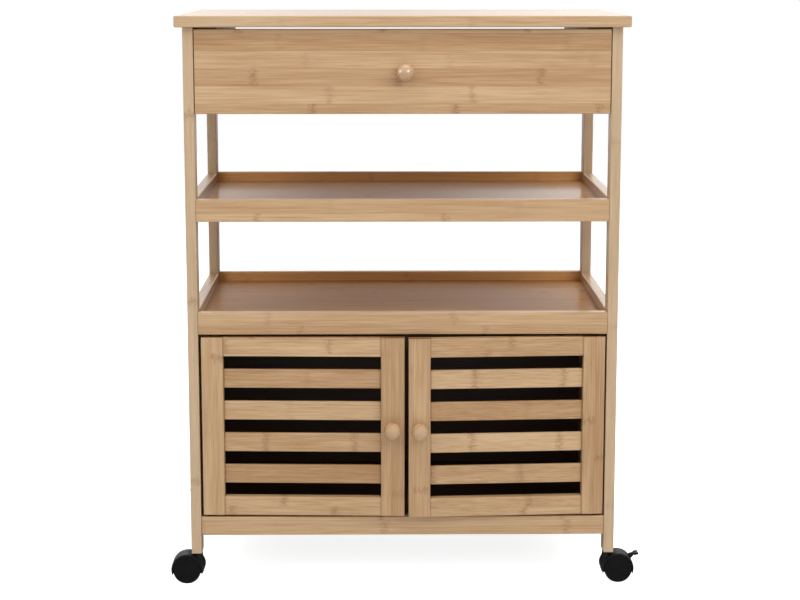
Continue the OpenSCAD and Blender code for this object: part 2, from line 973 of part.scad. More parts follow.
module brake_slot() {
    w = brake_neck_w + 2 * run_gap;
    translate(brake_pivot) {
        rod_y([0, -w / 2, 0], brake_slot_r, w);
        rod_y(
            [0, -w / 2 - brake_stud_l, 0],
            brake_stud_r + fit_gap, w + 2 * brake_stud_l
        );
    }
}

module brake_lever() {
    stud_span = brake_neck_w + 2 * brake_stud_l;
    translate(brake_pivot) {
        rod_y([0, -brake_neck_w / 2, 0], brake_hub_r, brake_neck_w);
        rod_y([0, -stud_span / 2, 0], brake_stud_r, stud_span);
        rotate([90, 0, 0]) {
            linear_extrude(brake_neck_w, center = true) brake_outline(neck_shares);
            linear_extrude(brake_pad_w, center = true) brake_outline(pad_shares);
        }
    }
}

module at_right(y) {
    translate([stem_x, y, 0]) children();
}

module at_left(y) {
    mirror([1, 0, 0]) translate([stem_x, y, 0]) children();
}

module front_left_castor_hood() {
    color(black) at_left(front_stem_y) castor_hood(false);
}

module front_right_castor_hood() {
    color(black) at_right(front_stem_y) castor_hood(true);
}

module rear_left_castor_hood() {
    color(black) at_left(rear_stem_y) castor_hood(true);
}

module rear_right_castor_hood() {
    color(black) at_right(rear_stem_y) castor_hood(false);
}

module front_left_castor_wheels() {
    color(black) at_left(front_stem_y) castor_wheels();
}

module front_right_castor_wheels() {
    color(black) at_right(front_stem_y) castor_wheels();
}

module rear_left_castor_wheels() {
    color(black) at_left(rear_stem_y) castor_wheels();
}

module rear_right_castor_wheels() {
    color(black) at_right(rear_stem_y) castor_wheels();
}

module front_right_brake_lever() {
    color(black) at_right(front_stem_y) brake_lever();
}

module rear_left_brake_lever() {
    color(black) at_left(rear_stem_y) brake_lever();
}

top_board();
front_left_post();
front_right_post();
rear_left_post();
rear_right_post();
upper_side_boards();
upper_rear_rail();
top_cleats();
drawer_runners();
upper_shelf_front_rail();
upper_shelf_rear_rail();
upper_shelf_left_rail();
upper_shelf_right_rail();
upper_shelf_panel();
lower_shelf_front_rail();
lower_shelf_rear_rail();
lower_shelf_left_rail();
lower_shelf_right_rail();
lower_shelf_panel();
cabinet_left_panel();
cabinet_right_panel();
cabinet_back_panel();
cabinet_floor();
base_front_rail();
base_rear_rail();
door_catch();
door_pivot_pins();
frame_screws();
castor_sockets();
castor_stems();
drawer_front();
drawer_sides();
drawer_back();
drawer_bottom();
drawer_knob();
drawer_knob_screw();
left_door_hinge_stile();
left_door_meeting_stile();
left_door_top_rail();
left_door_bottom_rail();
left_door_slats();
left_door_knob();
left_door_fittings();
right_door_hinge_stile();
right_door_meeting_stile();
right_door_top_rail();
right_door_bottom_rail();
right_door_slats();
right_door_knob();
right_door_fittings();
front_left_castor_hood();
front_right_castor_hood();
rear_left_castor_hood();
rear_right_castor_hood();
front_left_castor_wheels();
front_right_castor_wheels();
rear_left_castor_wheels();
rear_right_castor_wheels();
front_right_brake_lever();
rear_left_brake_lever();
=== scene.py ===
# %% [markdown]
# # A kitchen cart in laminated bamboo
#
# The cart is a frame of narrow posts and rails with a drawer, two open shelves, a cabinet with
# slatted doors and four black castors. Every board was already cut to its true shape in CAD, so
# this lesson loads those boards as they are and gives each one its grain. What a lathe or a
# mould makes, such as the knobs and the castors, is worked out here as smooth surfaces.

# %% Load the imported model
import bmesh
import bpy
import math
import numpy as np
from mathutils import Matrix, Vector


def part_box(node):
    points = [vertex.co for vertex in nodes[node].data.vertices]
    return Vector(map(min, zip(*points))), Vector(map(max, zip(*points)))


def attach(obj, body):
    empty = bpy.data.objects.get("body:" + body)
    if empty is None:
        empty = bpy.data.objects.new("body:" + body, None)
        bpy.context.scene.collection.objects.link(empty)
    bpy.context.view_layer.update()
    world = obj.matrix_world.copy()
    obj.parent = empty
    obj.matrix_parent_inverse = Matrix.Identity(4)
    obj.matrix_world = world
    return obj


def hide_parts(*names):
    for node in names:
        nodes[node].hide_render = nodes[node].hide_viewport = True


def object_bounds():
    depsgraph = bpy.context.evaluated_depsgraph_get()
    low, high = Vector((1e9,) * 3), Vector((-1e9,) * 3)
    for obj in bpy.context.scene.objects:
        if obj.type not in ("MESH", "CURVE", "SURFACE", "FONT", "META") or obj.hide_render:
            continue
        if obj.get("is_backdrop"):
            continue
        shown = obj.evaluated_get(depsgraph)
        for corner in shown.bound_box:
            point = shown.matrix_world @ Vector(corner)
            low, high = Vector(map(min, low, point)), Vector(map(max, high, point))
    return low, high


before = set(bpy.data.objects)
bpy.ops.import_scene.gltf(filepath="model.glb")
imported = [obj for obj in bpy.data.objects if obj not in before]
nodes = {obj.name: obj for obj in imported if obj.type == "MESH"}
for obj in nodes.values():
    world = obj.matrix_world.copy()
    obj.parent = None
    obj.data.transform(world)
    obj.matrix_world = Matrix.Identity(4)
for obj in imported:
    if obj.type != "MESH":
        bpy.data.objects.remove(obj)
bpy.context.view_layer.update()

# %% [markdown]
# ## The camera
#
# The cart is seen from a little above, from two and a half metres in front and with a long lens.
# A camera could be turned with three angles, but it is plainer to say where it looks: the
# forward direction follows from how far it is turned to the right and tipped down, and the other
# two axes from that.

# %% Set the camera
IMAGE_W = 800
FOCAL_PIXELS = 1869.5
SENSOR_MM = 36
CAMERA_AT = (-0.0299, -2.6411, 0.8341)
CAMERA_YAW = math.radians(0.604)
CAMERA_PITCH = math.radians(9.267)
SHIFT_PIXELS = -25


def looking(at, forward):
    """The 4x4 matrix of a camera or lamp at a point, whose -Z looks along forward.

    Its right axis is forward x up, and its own up is right x forward."""
    forward = np.array(forward) / np.linalg.norm(forward)
    right = np.cross(forward, [0, 0, 1])
    right /= np.linalg.norm(right)
    turn = np.eye(4)
    turn[:3, 0] = right
    turn[:3, 1] = np.cross(right, forward)
    turn[:3, 2] = -forward
    turn[:3, 3] = at
    return Matrix(turn.tolist())


def new_object(name, data):
    """An object in the scene that holds a mesh, a camera or a lamp."""
    made = bpy.data.objects.new(name, data)
    bpy.context.scene.collection.objects.link(made)
    return made


camera = new_object("camera", bpy.data.cameras.new("camera"))
camera.matrix_world = looking(CAMERA_AT, [
    math.sin(CAMERA_YAW) * math.cos(CAMERA_PITCH),
    math.cos(CAMERA_YAW) * math.cos(CAMERA_PITCH),
    -math.sin(CAMERA_PITCH),
])
camera.data.sensor_width = SENSOR_MM
camera.data.lens = FOCAL_PIXELS * SENSOR_MM / IMAGE_W
camera.data.shift_y = SHIFT_PIXELS / IMAGE_W
bpy.context.scene.camera = camera
print("lens", round(camera.data.lens, 1), "mm")

# %% [markdown]
# ## Helpers for node trees
#
# A finish is a small graph of nodes. Written out one node at a time it gets long, so short
# helpers do the repeated part: one sets or links a node's inputs, one adds a node with all its
# inputs, and the others add one kind of node each. Colours are given as the screen shows them
# and turned into the linear values that Blender works with.

# %% Node helpers
WHITE = (1, 1, 1, 1)


def linear(red, green, blue):
    """A screen colour of 0 to 255 as linear light: ((c + 0.055) / 1.055) to the power 2.4."""
    share = np.array([red, green, blue]) / 255
    light = np.where(share > 0.04045, ((share + 0.055) / 1.055) ** 2.4, share / 12.92)
    return (*light.tolist(), 1)


def fill(tree, node, inputs):
    """Set or link a node's inputs; inputs holds a value or another node's output for each."""
    for key, value in inputs.items():
        if isinstance(value, bpy.types.NodeSocket):
            tree.links.new(value, node.inputs[key])
        else:
            node.inputs[key].default_value = value


def add(tree, kind, inputs=None, **settings):
    """Add a node to the tree, with its settings, and fill its inputs."""
    node = tree.nodes.new("ShaderNode" + kind)
    for key, value in settings.items():
        setattr(node, key, value)
    fill(tree, node, inputs or {})
    return node


def calc(tree, operation, first, second=0.0, third=0.0):
    """Add a Math node and return its output."""
    return add(tree, "Math", {0: first, 1: second, 2: third}, operation=operation).outputs[0]


def band(tree, value, near, far, at_near=1.0, at_far=0.0):
    """Map value from near..far to at_near..at_far, with a smooth step and clamped ends."""
    return add(tree, "MapRange", {"Value": value, "From Min": near, "From Max": far,
                                  "To Min": at_near, "To Max": at_far},
               interpolation_type="SMOOTHSTEP").outputs["Result"]


def mix(tree, factor, first, second):
    """Mix two colours and return the output. A Mix node has its colours at inputs 6 and 7."""
    return add(tree, "Mix", {0: factor, 6: first, 7: second}, data_type="RGBA").outputs[2]


def noise(tree, position, scales, detail, roughness):
    """Noise between 0 and 1, stretched by a scale along each axis of the position."""
    stretched = add(tree, "VectorMath", {0: position, 1: scales}, operation="MULTIPLY")
    return add(tree, "TexNoise", {"Vector": stretched.outputs[0], "Scale": 1.0,
                                  "Detail": detail, "Roughness": roughness}).outputs[0]


def new_material(name):
    """A material, its node tree and the Principled shader in it."""
    material = bpy.data.materials.new(name)
    material.use_nodes = True
    return material, material.node_tree, material.node_tree.nodes["Principled BSDF"]


def new_group(name, inputs, outputs):
    """A shader node group with named inputs and outputs, and its two end nodes."""
    group = bpy.data.node_groups.new(name, "ShaderNodeTree")
    for key, (kind, value) in inputs.items():
        socket = group.interface.new_socket(name=key, in_out="INPUT", socket_type=kind)
        if value is not None:
            socket.default_value = value
    for key, kind in outputs.items():
        group.interface.new_socket(name=key, in_out="OUTPUT", socket_type=kind)
    return group, group.nodes.new("NodeGroupInput"), group.nodes.new("NodeGroupOutput")


# %% [markdown]
# ## Light and floor
#
# The light is that of a product photograph. Two broad lamps hang high in front, the right one
# stronger, and one hangs overhead. Light from so high doesn't reach far under the drawer and the
# shelves, so the rails at the back stay dark and warm, and a weak lamp lower down in front lifts
# them a little; their colours also hold painted light. Another lamp hangs behind the cart for the
# views from there. An area lamp is used for each, because its size sets how soft the shadows are.
#
# Soft boxes give the drawer's polished knob its highlights. The wide boards would mirror them as
# white patches, so light linking lets them reach that knob alone.

# %% Make the lamps
# Each lamp: where it hangs, what it looks at, its width and height in metres, its power in watts
LAMPS = {
    "lamp_over": ((0.3, -0.45, 2.3), (0.0, 0.0, 0.6), 2.4, 1.8, 31.5),
    "lamp_right": ((2.0, -2.1, 2.1), (0.0, 0.0, 0.40), 2.2, 1.8, 39),
    "lamp_left": ((-2.0, -2.0, 2.0), (0.0, 0.0, 0.40), 2.2, 1.8, 30.8),
    "lamp_rear": ((-0.7, 2.7, 2.0), (0.0, 0.0, 0.40), 2.4, 1.8, 22),
    "lamp_low": ((-0.1, -2.1, 1.02), (0.0, -0.2, 0.60), 0.6, 0.3, 3.0),
}
BOXES = {
    "box_right": ((1.36, -1.84, 1.20), (0.0, -0.19, 0.70), 0.6, 0.6, 30),
    "box_left": ((-2.03, -0.90, 1.15), (0.0, -0.19, 0.70), 0.6, 0.6, 30),
    "box_over": ((0.1, 0.1, 1.9), (0.0, -0.19, 0.70), 1.5, 0.8, 13),
}


def area_lamp(name, at, target, width, height, power):
    """A rectangular lamp that hangs at one point and looks at another."""
    lamp = new_object(name, bpy.data.lights.new(name, "AREA"))
    lamp.data.shape = "RECTANGLE"
    lamp.data.size = width
    lamp.data.size_y = height
    lamp.data.energy = power
    lamp.matrix_world = looking(at, np.subtract(target, at))
    return lamp


for name, placed in LAMPS.items():
    # The top and the trays would mirror a broad lamp as white glare
    area_lamp(name, *placed).visible_glossy = False
polished = bpy.data.collections.new("polished")
for name, placed in BOXES.items():
    box = area_lamp(name, *placed)
    box.visible_diffuse = False
    box.light_linking.receiver_collection = polished
print("lamps", len(LAMPS), "soft boxes", len(BOXES))

# %% [markdown]
# The world is white where the camera sees it, a little dimmer in reflections, and weak where it
# lights the cart. The Light Path node tells these apart, and it is allowed here because the world
# isn't a finish of the cart. In reflections the wall behind the cart is dark in the middle and
# bright a little to the left and right, as it is in a studio where lamps at both sides light it.
# Near the horizon it is even, and only the top board, seen almost edge on, mirrors that part. A
# direction has the length 1 here, so the places below are shares of it to the side, to the back
# and upwards. The floor is matt and pale, with a glow that only the camera sees, so that it runs
# into the white ground without a horizon and still shows a soft shadow.

# %% Make the world and the floor
WORLD_SEEN = 1.0
MIRRORED_MIDDLE = 0.35
MIRRORED_SIDES = 2.65
MIRRORED_ELSEWHERE = 0.95
DARKEST_SHARE = -0.006
BRIGHTEST_SHARE = 0.17
WALL_END_SHARES = (0.12, 0.3)
BACK_SHARE = 0.5
HORIZON_SHARES = (0.07, 0.11)
WORLD_LIGHT = 0.13
FLOOR_HALF = 6.0
FLOOR_WHITE = (0.9, 0.9, 0.9, 1)
FLOOR_ROUGH = 0.8
FLOOR_GLOW = 0.86

world = bpy.data.worlds.new("studio")
bpy.context.scene.world = world
world.use_nodes = True
sky = world.node_tree
path = add(sky, "LightPath")
toward = add(sky, "SeparateXYZ", {0: add(sky, "TexCoord").outputs["Generated"]})
sideways = calc(sky, "ABSOLUTE", calc(sky, "SUBTRACT", toward.outputs[0], DARKEST_SHARE))
wall = band(sky, sideways, 0.0, BRIGHTEST_SHARE, MIRRORED_MIDDLE, MIRRORED_SIDES)
elsewhere = calc(sky, "MAXIMUM", band(sky, sideways, *WALL_END_SHARES, 0.0, 1.0),
                 band(sky, toward.outputs[1], 0.0, BACK_SHARE))
elsewhere = calc(sky, "MAXIMUM", elsewhere, band(sky, toward.outputs[2], *HORIZON_SHARES))
mirrored = calc(sky, "MULTIPLY_ADD", elsewhere,
                calc(sky, "SUBTRACT", MIRRORED_ELSEWHERE, wall), wall)
strength = calc(sky, "MULTIPLY_ADD", path.outputs["Is Glossy Ray"],
                calc(sky, "SUBTRACT", mirrored, WORLD_LIGHT), WORLD_LIGHT)
strength = calc(sky, "MULTIPLY_ADD", path.outputs["Is Camera Ray"],
                WORLD_SEEN - WORLD_LIGHT, strength)
fill(sky, sky.nodes["Background"], {"Color": WHITE, "Strength": strength})
bpy.context.scene.view_settings.view_transform = "Standard"

floor_mesh = bpy.data.meshes.new("floor")
corners = [(x * FLOOR_HALF, y * FLOOR_HALF, 0) for x, y in ((-1, -1), (1, -1), (1, 1), (-1, 1))]
floor_mesh.from_pydata(corners, [], [(0, 1, 2, 3)])
floor = new_object("floor", floor_mesh)
floor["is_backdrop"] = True
floor_material, ground, ground_shader = new_material("floor")
glow = calc(ground, "MULTIPLY", add(ground, "LightPath").outputs["Is Camera Ray"], FLOOR_GLOW)
fill(ground, ground_shader, {
    "Base Color": FLOOR_WHITE,
    "Roughness": FLOOR_ROUGH,
    "Emission Color": WHITE,
    "Emission Strength": glow,
})
floor_mesh.materials.append(floor_material)
print("floor", 2 * FLOOR_HALF, "m wide")

# %% [markdown]
# ## Laminated bamboo
#
# Bamboo board is glued up from strips about 20 mm wide. Each strip has its own tint, fine
# fibres along its length, short dark pores, and now and then a knuckle: a mottled brown band
# where the cane had a joint. A wood texture node has rings, which bamboo lacks, so the pattern
# is built from the strip number and stretched noise. It is a node group, because all the boards
# share it and differ only in its inputs, such as the colours and the strip width.

# %% The bamboo group
FLOAT = "NodeSocketFloat"
COLOR = "NodeSocketColor"
VECTOR = "NodeSocketVector"
# Each noise: its changes in a metre along the grain and twice across it, its detail and roughness
FIBRES = ((14, 900, 900), 3.0, 0.6)
STREAKS = ((11, 420, 420), 3.0, 0.65)
PORES = ((45, 2600, 2600), 2.0, 0.6)
CLOUDS = ((5, 60, 60), 3.0, 0.55)
WAVER = ((60, 220, 220), 2.0, 0.6)
MOTTLE = ((170, 620, 620), 3.0, 0.65)
# The farthest that one strip reads the noise from the next, and its knuckles' farthest move
STRIP_JUMP = (7.3, 0.9, 0.9)
KNUCKLE_JUMP = 9.7
WAVER_SHARE = 0.07
# A knuckle's spots fade between these distances from its middle, and its line is much narrower
SPOTS_FROM = 0.001
SPOTS_TO = 0.009
SPOT_EDGES = (0.44, 0.58)
FAINTEST_SPOT_SHARE = 0.12
LINE_FROM = 0.0002
LINE_TO = 0.0016
LINE_SHARE = 0.7
# Strips with a low random value have knuckles of only this share of the strength
FAINT_EDGES = (0.15, 0.6)
FAINT_SHARE = 0.25
# A glue line's half width, without its soft edge and with it
GLUE_FROM = 0.0001
GLUE_TO = 0.0005
# The tone is 0 for the light colour and 1 for the dark one. Each noise adds so much to it, and
# the last value is taken off so that it lies round the middle.
FIBRES_DARKEN = 0.8
STREAKS_DARKEN = 1.2
CLOUDS_DARKEN = 0.9
TONE_OFF = 0.95
PORE_EDGES = (0.66, 0.76)
PORE_SHARE = 0.30
GLUE_SHARE = 0.28
# How dark a board's ends get: painted shade in the joints
END_SHADE_SHARE = 0.7
ROUGH_LEAST = 0.38
ROUGH_SPREAD = 0.16
FIBRE_RISE = 0.5
GLUE_DEPTH = 0.8

bamboo_group, given, result = new_group("laminated_bamboo", {
    "Position": (VECTOR, None),
    "Strip Width": (FLOAT, 0.02),
    "Light": (COLOR, linear(214, 183, 146)),
    "Dark": (COLOR, linear(184, 145, 102)),
    "Knuckle Color": (COLOR, linear(128, 84, 48)),
    "Knuckle Pitch": (FLOAT, 0.25),
    "Knuckle Strength": (FLOAT, 0.5),
    "Strip Contrast": (FLOAT, 0.35),
    "Alternate": (FLOAT, 0.0),
    "End Low": (FLOAT, -1.0),
    "End High": (FLOAT, 1.0),
    "End Shade Width": (FLOAT, 0.0008),
    "Tone Shift": (FLOAT, 0.0),
}, {"Color": COLOR, "Roughness": FLOAT, "Height": FLOAT})


def build_bamboo(tree, given, result):
    """Strip number n = floor(y / width); tint and knuckles follow from a random value of n."""
    position = given.outputs["Position"]
    axes = add(tree, "SeparateXYZ", {0: position})
    along = axes.outputs[0]
    strips = calc(tree, "DIVIDE", axes.outputs[1], given.outputs["Strip Width"])
    number = calc(tree, "FLOOR", strips)
    place = calc(tree, "SUBTRACT", strips, number)
    random = add(tree, "TexWhiteNoise", {"W": number}, noise_dimensions="1D")
    chance = add(tree, "SeparateColor", {0: random.outputs["Color"]})
    # Every strip reads the noise somewhere else
    jump = add(tree, "VectorMath", {0: random.outputs["Color"], 1: STRIP_JUMP},
               operation="MULTIPLY").outputs[0]
    moved = add(tree, "VectorMath", {0: position, 1: jump}, operation="ADD").outputs[0]

    fibres = noise(tree, moved, *FIBRES)
    streaks = noise(tree, moved, *STREAKS)
    pores = noise(tree, moved, *PORES)
    clouds = noise(tree, moved, *CLOUDS)

    # The distance from the nearest knuckle, whose line wavers a little across the strip
    waver = noise(tree, moved, *WAVER)
    pitch = given.outputs["Knuckle Pitch"]
    turns = calc(tree, "ADD", calc(tree, "DIVIDE", along, pitch),
                 calc(tree, "MULTIPLY", chance.outputs[0], KNUCKLE_JUMP))
    turns = calc(tree, "ADD", turns, calc(tree, "MULTIPLY", waver, WAVER_SHARE))
    offset = calc(tree, "ABSOLUTE", calc(tree, "SUBTRACT", calc(tree, "FRACT", turns), 0.5))
    distance = calc(tree, "MULTIPLY", offset, pitch)
    mottle = noise(tree, moved, *MOTTLE)
    spots = calc(tree, "MULTIPLY", band(tree, distance, SPOTS_FROM, SPOTS_TO),
                 band(tree, mottle, *SPOT_EDGES, FAINTEST_SPOT_SHARE, 1.0))
    line = band(tree, distance, LINE_FROM, LINE_TO, LINE_SHARE, 0.0)
    knuckle = calc(tree, "MAXIMUM", spots, line)
    faint = band(tree, chance.outputs[1], *FAINT_EDGES, FAINT_SHARE, 1.0)
    knuckle = calc(tree, "MULTIPLY", knuckle, faint)
    knuckle = calc(tree, "MULTIPLY", knuckle, given.outputs["Knuckle Strength"])

    # Glue lines between the strips
    edge = calc(tree, "MINIMUM", place, calc(tree, "SUBTRACT", 1.0, place))
    edge = calc(tree, "MULTIPLY", edge, given.outputs["Strip Width"])
    glue = band(tree, edge, GLUE_FROM, GLUE_TO)

    tint = calc(tree, "MULTIPLY", calc(tree, "SUBTRACT", chance.outputs[2], 0.5),
                given.outputs["Strip Contrast"])
    odd = calc(tree, "SUBTRACT", calc(tree, "FLOORED_MODULO", number, 2.0), 0.5)
    tint = calc(tree, "MULTIPLY_ADD", odd, given.outputs["Alternate"], tint)
    tone = calc(tree, "MULTIPLY_ADD", fibres, FIBRES_DARKEN,
                calc(tree, "MULTIPLY", streaks, STREAKS_DARKEN))
    tone = calc(tree, "MULTIPLY_ADD", clouds, CLOUDS_DARKEN, tone)
    tone = calc(tree, "ADD", calc(tree, "SUBTRACT", tone, TONE_OFF), tint)
    tone = calc(tree, "ADD", tone, given.outputs["Tone Shift"])
    tone = add(tree, "Clamp", {"Value": tone}).outputs[0]
    brown = given.outputs["Knuckle Color"]
    color = mix(tree, tone, given.outputs["Light"], given.outputs["Dark"])
    dots = calc(tree, "MULTIPLY", band(tree, pores, *PORE_EDGES, 0.0, 1.0), PORE_SHARE)
    color = mix(tree, dots, color, brown)
    color = mix(tree, knuckle, color, brown)
    color = mix(tree, calc(tree, "MULTIPLY", glue, GLUE_SHARE), color, brown)

    # A board's very ends are darker: painted shade, as it falls in the joints where boards meet
    nearest = calc(tree, "MINIMUM", calc(tree, "SUBTRACT", along, given.outputs["End Low"]),
                   calc(tree, "SUBTRACT", given.outputs["End High"], along))
    ends = band(tree, nearest, 0.0, given.outputs["End Shade Width"])
    color = mix(tree, calc(tree, "MULTIPLY", ends, END_SHADE_SHARE), color, brown)

    rough = calc(tree, "MULTIPLY_ADD", fibres, ROUGH_SPREAD, ROUGH_LEAST)
    height = calc(tree, "SUBTRACT", calc(tree, "MULTIPLY", fibres, FIBRE_RISE),
                  calc(tree, "MULTIPLY", glue, GLUE_DEPTH))
    height = calc(tree, "SUBTRACT", height, dots)
    fill(tree, result, {"Color": color, "Roughness": rough, "Height": height})


build_bamboo(bamboo_group, given, result)
print("bamboo group", len(bamboo_group.nodes), "nodes")

# %% [markdown]
# A board is cut with its fibres along its length, so each board needs the pattern turned its
# own way. Here the object's coordinates are taken apart and put together in another order:
# first the axis that the grain runs along, then the axis across the board's wide face. A
# Mapping node shifts them, so that no two boards show the same piece of cane.

# %% Bamboo finishes
AXES = {"x": 0, "y": 1, "z": 2}
GRAIN_BUMP_SHARE = 0.35
GRAIN_DEPTH = 0.00025
BAMBOO = {
    "light": linear(206, 174, 134),
    "dark": linear(163, 121, 78),
    "knuckle": linear(128, 84, 48),
    "coat": 0.35,
    "coat_rough": 0.32,
    "shine": 0.5,
}
# The top's colours are lighter than the other boards': painted light where the lamp overhead
# falls on it.
LIT_TOP_BAMBOO = BAMBOO | {
    "light": linear(214, 187, 152),
    "dark": linear(176, 139, 98),
    "coat": 0.6,
    "coat_rough": 0.12,
}
POST_BAMBOO = BAMBOO | {"light": linear(201, 175, 142), "dark": linear(172, 141, 105)}
SHELF_RAIL = BAMBOO | {"coat": 0.5, "coat_rough": 0.3}
# The rails at the back get lighter, warmer colours than the front ones: painted light, standing
# in for light that bounces round the shelves.
LIT_REAR_RAIL = SHELF_RAIL | {"light": linear(232, 183, 124), "dark": linear(202, 148, 88)}
PANEL = BAMBOO | {
    "light": linear(191, 142, 86),
    "dark": linear(169, 118, 65),
    "coat": 0.09,
    "coat_rough": 0.14,
    "shine": 0.1,
}
UPPER_PANEL = PANEL | {"coat": 0.36}
# The cleats and runners inside the frame are darker than the bamboo outside: painted shade where
# they sit in the dark.
SHADED_INNER = BAMBOO | {
    "light": linear(150, 104, 62),
    "dark": linear(110, 72, 40),
    "knuckle": linear(84, 52, 28),
    "coat": 0.0,
}
# The cabinet's back and floor are darker still: painted shade for the inside of the closed
# cabinet.
PAINTED_SHADE_BOARD = SHADED_INNER | {
    "light": linear(70, 47, 30),
    "dark": linear(44, 27, 16),
    "knuckle": linear(26, 15, 8),
}


def bamboo_material(name, look, grain, wide, shift, ends, settings):
    """Laminated bamboo whose fibres run along grain and whose strips lie side by side in wide.

    ends are the lowest and highest place of the board along its grain, and settings are inputs of
    the group by name."""
    material, tree, shader = new_material(name)
    place = add(tree, "TexCoord").outputs["Object"]
    moved = add(tree, "Mapping", {"Vector": place, "Location": shift})
    split = add(tree, "SeparateXYZ", {0: moved.outputs[0]})
    through = ({"x", "y", "z"} - {grain, wide}).pop()
    order = [split.outputs[AXES[axis]] for axis in (grain, wide, through)]
    position = add(tree, "CombineXYZ", dict(enumerate(order))).outputs[0]
    group = add(tree, "Group", node_tree=bamboo_group)
    fill(tree, group, {
        "Position": position,
        "Light": look["light"],
        "Dark": look["dark"],
        "Knuckle Color": look["knuckle"],
        "End Low": ends[0] + shift[AXES[grain]],
        "End High": ends[1] + shift[AXES[grain]],
    })
    fill(tree, group, settings)
    bump = add(tree, "Bump", {"Height": group.outputs["Height"], "Strength": GRAIN_BUMP_SHARE,
                              "Distance": GRAIN_DEPTH})
    fill(tree, shader, {
        "Base Color": group.outputs["Color"],
        "Roughness": group.outputs["Roughness"],
        "Normal": bump.outputs[0],
        "Coat Weight": look["coat"],
        "Coat Roughness": look["coat_rough"],
        "Specular IOR Level": look["shine"],
    })
    return material


def dress(node, material):
    """Give a CAD node's object one material."""
    mesh = nodes[node].data
    mesh.materials.clear()
    mesh.materials.append(material)


# Each board: its finish, the axis along its grain, the axis across its wide face
BOARDS = {
    "top_board": (LIT_TOP_BAMBOO, "x", "y"),
    "front_left_post": (POST_BAMBOO, "z", "y"),
    "front_right_post": (POST_BAMBOO, "z", "y"),
    "rear_left_post": (POST_BAMBOO, "z", "y"),
    "rear_right_post": (POST_BAMBOO, "z", "y"),
    "upper_side_boards": (BAMBOO, "y", "z"),
    "upper_rear_rail": (BAMBOO, "x", "z"),
    "top_cleats": (SHADED_INNER, "y", "x"),
    "drawer_runners": (SHADED_INNER, "y", "x"),
    "upper_shelf_front_rail": (SHELF_RAIL, "x", "z"),
    "upper_shelf_rear_rail": (LIT_REAR_RAIL, "x", "z"),
    "upper_shelf_left_rail": (SHELF_RAIL, "y", "z"),
    "upper_shelf_right_rail": (SHELF_RAIL, "y", "z"),
    "upper_shelf_panel": (UPPER_PANEL, "x", "y"),
    "lower_shelf_front_rail": (SHELF_RAIL, "x", "z"),
    "lower_shelf_rear_rail": (LIT_REAR_RAIL, "x", "z"),
    "lower_shelf_left_rail": (SHELF_RAIL, "y", "z"),
    "lower_shelf_right_rail": (SHELF_RAIL, "y", "z"),
    "lower_shelf_panel": (PANEL, "x", "y"),
    "cabinet_left_panel": (BAMBOO, "z", "y"),
    "cabinet_right_panel": (BAMBOO, "z", "y"),
    "cabinet_back_panel": (PAINTED_SHADE_BOARD, "x", "z"),
    "cabinet_floor": (PAINTED_SHADE_BOARD, "x", "y"),
    "base_front_rail": (BAMBOO, "x", "z"),
    "base_rear_rail": (BAMBOO, "x", "z"),
    "drawer_front": (BAMBOO, "x", "z"),
    "drawer_sides": (BAMBOO, "y", "z"),
    "drawer_back": (BAMBOO, "x", "z"),
    "drawer_bottom": (PANEL, "x", "y"),
    "left_door_hinge_stile": (BAMBOO, "z", "x"),
    "left_door_meeting_stile": (BAMBOO, "z", "x"),
    "left_door_top_rail": (BAMBOO, "x", "z"),
    "left_door_bottom_rail": (BAMBOO, "x", "z"),
    "left_door_slats": (BAMBOO, "x", "z"),
    "right_door_hinge_stile": (BAMBOO, "z", "x"),
    "right_door_meeting_stile": (BAMBOO, "z", "x"),
    "right_door_top_rail": (BAMBOO, "x", "z"),
    "right_door_bottom_rail": (BAMBOO, "x", "z"),
    "right_door_slats": (BAMBOO, "x", "z"),
}
# The drawer front's strips are wide, and darker and lighter in turn. Odd numbers are the dark
# ones, and the strip just above this seam is dark.
DRAWER_STRIP = 0.0232
DRAWER_SEAM_Z = 0.7291
SEAM_STRIP = 61
# Each slat of a door is one strip with its own tint, so a strip is as wide as the slats' pitch
SLAT_COUNT = 4
SLAT_H = 0.026
SLATS_LOW, SLATS_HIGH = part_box("left_door_slats")
SLAT_PITCH = (SLATS_HIGH.z - SLATS_LOW.z - SLAT_H) / (SLAT_COUNT - 1)
SLATS_FROM = SLATS_LOW.z - (SLAT_PITCH - SLAT_H) / 2
# Which strip number the lowest slat gets, and with it the tints of all four
LOWEST_SLAT = {"left_door_slats": 66, "right_door_slats": 72}
# What the bamboo group's inputs are, where they aren't the usual ones
# Wider dark ends paint more shade where the slats and the door and base rails meet the stiles and
# posts
SLATS = {"Strip Width": SLAT_PITCH, "Strip Contrast": 0.6, "End Shade Width": 0.003,
         "Knuckle Pitch": 0.12}
JOINT = {"End Shade Width": 0.0028, "Knuckle Pitch": 0.14}
TRAY = {"Knuckle Strength": 0.35, "Strip Contrast": 0.2}
PLAIN = {"Knuckle Strength": 0.0, "Strip Contrast": 0.15}
SETTINGS = {
    "drawer_front": {"Strip Width": DRAWER_STRIP, "Alternate": 0.31, "Strip Contrast": 0.1,
                     "Knuckle Strength": 0.6, "Knuckle Pitch": 0.19},
    "upper_shelf_panel": TRAY,
    "lower_shelf_panel": TRAY,
    "cabinet_back_panel": PLAIN,
    "cabinet_floor": PLAIN,
    "base_front_rail": {"End Shade Width": 0.0022},
    "base_rear_rail": {"End Shade Width": 0.0022},
    "left_door_top_rail": JOINT,
    "left_door_bottom_rail": JOINT | {"Tone Shift": -0.2},
    "right_door_top_rail": JOINT,
    "right_door_bottom_rail": JOINT,
    "left_door_slats": SLATS | {"Tone Shift": 0.1},
    "right_door_slats": SLATS,
    "left_door_meeting_stile": {"Tone Shift": 0.25},
    "right_door_meeting_stile": {"Tone Shift": 0.12},
}
SEED = 11
FARTHEST_SHIFT = 3.0
UP = AXES["z"]
